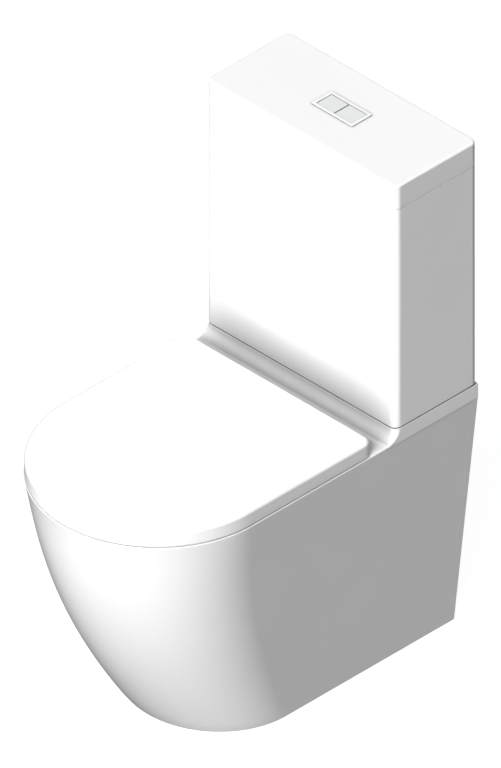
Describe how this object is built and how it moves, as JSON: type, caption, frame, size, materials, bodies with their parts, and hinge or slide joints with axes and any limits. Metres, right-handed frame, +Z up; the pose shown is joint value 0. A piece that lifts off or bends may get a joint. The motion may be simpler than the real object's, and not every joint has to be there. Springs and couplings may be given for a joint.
{
  "type": "close coupled toilet",
  "caption": "Close coupled back-to-wall toilet: skirted pan, cistern with dual flush and fill valves, soft-close seat on hinges, push buttons in the cistern lid.",
  "frame": {"origin": "centre of the bounding box on the floor", "axes": "+Z up, the front of the pan faces -Y, the wall is at +Y, X = 0 is the plane of symmetry"},
  "size_m": [0.38, 0.641, 0.8565],
  "materials": {
    "china": "white vitreous glaze, gloss",
    "seat_plastic": "white moulded, gloss",
    "button_plastic": "pale cool grey, satin",
    "bezel_plastic": "white moulded, gloss",
    "hinge_chrome": "polished",
    "steel": "plain stainless",
    "black_rubber": "matt",
    "clear_buffer": "soft, matt white",
    "seal_rubber": "silicone, satin",
    "blue_plastic": "moulded",
    "grey_plastic": "moulded"
  },
  "bodies": {
    "root": {"pan": "china", "floor_brackets": "grey_plastic", "cistern_tank": "china", "cistern_pads": "black_rubber", "coupling_gasket": "black_rubber", "coupling_bolts": "steel", "bolt_seals": "black_rubber", "coupling_washers": "steel", "wing_nuts": "hinge_chrome", "flush_valve_base": "grey_plastic", "base_washer": "black_rubber", "base_nut": "grey_plastic", "flush_tower": "grey_plastic", "tower_cap": "blue_plastic", "rocker_pins": "steel", "fill_valve_shank": "grey_plastic", "shank_washer": "black_rubber", "shank_nut": "grey_plastic", "inlet_filter": "blue_plastic", "fill_valve_head": "grey_plastic", "fill_valve_cap": "blue_plastic", "lever_pin": "steel", "hinge_plates": "hinge_chrome", "hinge_pillars": "hinge_chrome", "hinge_pins": "steel", "seat_bolts": "steel", "seat_bushes": "black_rubber", "seat_nuts": "steel"},
    "cistern_cover": {"cistern_lid": "china", "button_bezel": "bezel_plastic", "bezel_retainer": "grey_plastic", "half_spring": "steel", "full_spring": "steel"},
    "half_button": {"half_button": "button_plastic", "half_push_rod": "grey_plastic"},
    "full_button": {"full_button": "button_plastic", "full_push_rod": "grey_plastic"},
    "half_rocker": {"half_rocker": "blue_plastic"},
    "full_rocker": {"full_rocker": "blue_plastic"},
    "plunger": {"flush_plunger": "grey_plastic", "plunger_seal": "seal_rubber"},
    "half_float": {"half_flush_float": "blue_plastic"},
    "fill_float": {"fill_float": "blue_plastic", "float_rod": "steel"},
    "float_lever": {"float_lever": "blue_plastic"},
    "seat_ring": {"seat_ring": "seat_plastic", "ring_buffers": "clear_buffer", "ring_damper": "grey_plastic"},
    "seat_lid": {"seat_lid": "seat_plastic", "lid_buffers": "clear_buffer", "lid_damper": "grey_plastic"}
  },
  "joints": [
    {"name": "seat_ring_hinge", "type": "hinge", "parent": "root", "child": "seat_ring", "pos_m": [0, 0.1045, 0.4275], "axis": [1, 0, 0], "range_deg": [-94, 0]},
    {"name": "seat_lid_hinge", "type": "hinge", "parent": "seat_ring", "child": "seat_lid", "pos_m": [0, 0.1045, 0.4275], "axis": [-1, 0, 0], "range_deg": [0, 94]},
    {"name": "cistern_lid_lift", "type": "slide", "parent": "root", "child": "cistern_cover", "axis": [0, 0, 1], "range_m": [0, 0.06]},
    {"name": "half_flush_press", "type": "slide", "parent": "cistern_cover", "child": "half_button", "axis": [0, 0, -1], "range_m": [0, 0.008], "stiffness_N_per_m": 300, "springref_m": -0.004, "deforming": ["half_spring"]},
    {"name": "full_flush_press", "type": "slide", "parent": "cistern_cover", "child": "full_button", "axis": [0, 0, -1], "range_m": [0, 0.008], "stiffness_N_per_m": 300, "springref_m": -0.004, "deforming": ["full_spring"]},
    {"name": "half_rocker_tilt", "type": "hinge", "parent": "root", "child": "half_rocker", "pos_m": [-0.033, 0.2375, 0.7215], "axis": [0, -1, 0], "range_deg": [0, 33]},
    {"name": "full_rocker_tilt", "type": "hinge", "parent": "root", "child": "full_rocker", "pos_m": [0.033, 0.2375, 0.7215], "axis": [0, 1, 0], "range_deg": [0, 33]},
    {"name": "plunger_lift", "type": "slide", "parent": "root", "child": "plunger", "axis": [0, 0, 1], "range_m": [0, 0.01]},
    {"name": "half_float_lift", "type": "slide", "parent": "root", "child": "half_float", "axis": [0, 0, 1], "range_m": [0, 0.01]},
    {"name": "fill_float_rise", "type": "slide", "parent": "root", "child": "fill_float", "axis": [0, 0, 1], "range_m": [0, 0.015]},
    {"name": "float_lever_tilt", "type": "hinge", "parent": "root", "child": "float_lever", "pos_m": [-0.13, 0.2455, 0.7565], "axis": [-1, 0, 0], "range_deg": [0, 31]}
  ],
  "couplings": [
    {"joint": "half_rocker_tilt", "follows": "half_flush_press", "rad_per_m": 70.3},
    {"joint": "full_rocker_tilt", "follows": "full_flush_press", "rad_per_m": 70.3},
    {"joint": "plunger_lift", "follows": "full_flush_press", "ratio": 1.2},
    {"joint": "half_float_lift", "follows": "half_flush_press", "ratio": 1.2},
    {"joint": "float_lever_tilt", "follows": "fill_float_rise", "rad_per_m": 34.9}
  ]
}
